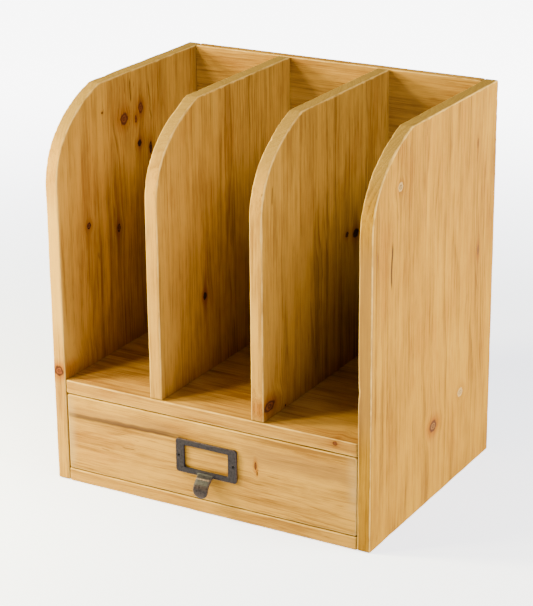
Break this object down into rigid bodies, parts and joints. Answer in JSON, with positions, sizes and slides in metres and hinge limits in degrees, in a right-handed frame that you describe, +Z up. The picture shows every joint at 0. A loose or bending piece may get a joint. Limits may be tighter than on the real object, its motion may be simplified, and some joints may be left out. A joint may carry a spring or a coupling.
{
  "type": "magazine file holder",
  "caption": "Free-standing wooden desktop holder with open upright slots for magazines over a shallow drawer with a bronze label-holder pull.",
  "frame": {"origin": "middle of the carcass's footprint, on the plane it stands on (underside of the bottom board)", "axes": "+Z up, -Y out of the open front the way the drawer slides out, +X to the user's right as they face the front"},
  "size_m": [0.315, 0.2555, 0.352],
  "materials": {
    "pine_upright": "honey pine, vertical grain with knots, satin lacquer, sanded edges",
    "pine_level": "honey pine, grain across the width, satin lacquer",
    "pine_back": "pine, grain across the width, satin lacquer",
    "pine_drawer_front": "honey pine, grain across the width, satin lacquer",
    "pine_drawer_box": "pine, planed and lightly sealed",
    "plywood": "thin plywood, unfinished",
    "hardwood_dowel": "beech dowel, raw",
    "aged_bronze": "aged bronze casting, dark patina worn bright on the high edges",
    "brad_steel": "bright steel wire"
  },
  "bodies": {
    "carcass": {"left_side_panel": "pine_upright", "right_side_panel": "pine_upright", "left_divider": "pine_upright", "right_divider": "pine_upright", "back_panel": "pine_back", "shelf": "pine_level", "bottom_board": "pine_level", "left_shelf_dowel_front": "hardwood_dowel", "left_shelf_dowel_rear": "hardwood_dowel", "left_bottom_dowel_front": "hardwood_dowel", "left_bottom_dowel_rear": "hardwood_dowel", "left_back_dowel_low": "hardwood_dowel", "left_back_dowel_middle": "hardwood_dowel", "left_back_dowel_high": "hardwood_dowel", "left_divider_foot_dowel_front": "hardwood_dowel", "left_divider_foot_dowel_rear": "hardwood_dowel", "left_divider_back_dowel_low": "hardwood_dowel", "left_divider_back_dowel_high": "hardwood_dowel", "right_shelf_dowel_front": "hardwood_dowel", "right_shelf_dowel_rear": "hardwood_dowel", "right_bottom_dowel_front": "hardwood_dowel", "right_bottom_dowel_rear": "hardwood_dowel", "right_back_dowel_low": "hardwood_dowel", "right_back_dowel_middle": "hardwood_dowel", "right_back_dowel_high": "hardwood_dowel", "right_divider_foot_dowel_front": "hardwood_dowel", "right_divider_foot_dowel_rear": "hardwood_dowel", "right_divider_back_dowel_low": "hardwood_dowel", "right_divider_back_dowel_high": "hardwood_dowel"},
    "drawer": {"drawer_front": "pine_drawer_front", "drawer_side_left": "pine_drawer_box", "drawer_side_right": "pine_drawer_box", "drawer_back": "pine_drawer_box", "drawer_bottom": "plywood", "label_holder_pull": "aged_bronze", "label_pin_left": "aged_bronze", "label_pin_right": "aged_bronze", "drawer_brad_left_front_low": "brad_steel", "drawer_brad_left_front_high": "brad_steel", "drawer_brad_left_back_low": "brad_steel", "drawer_brad_left_back_high": "brad_steel", "drawer_bottom_brad_left": "brad_steel", "drawer_brad_right_front_low": "brad_steel", "drawer_brad_right_front_high": "brad_steel", "drawer_brad_right_back_low": "brad_steel", "drawer_brad_right_back_high": "brad_steel", "drawer_bottom_brad_right": "brad_steel"}
  },
  "joints": [
    {"name": "drawer_slide", "type": "slide", "parent": "carcass", "child": "drawer", "axis": [0, -1, 0], "range_m": [0, 0.18]}
  ]
}
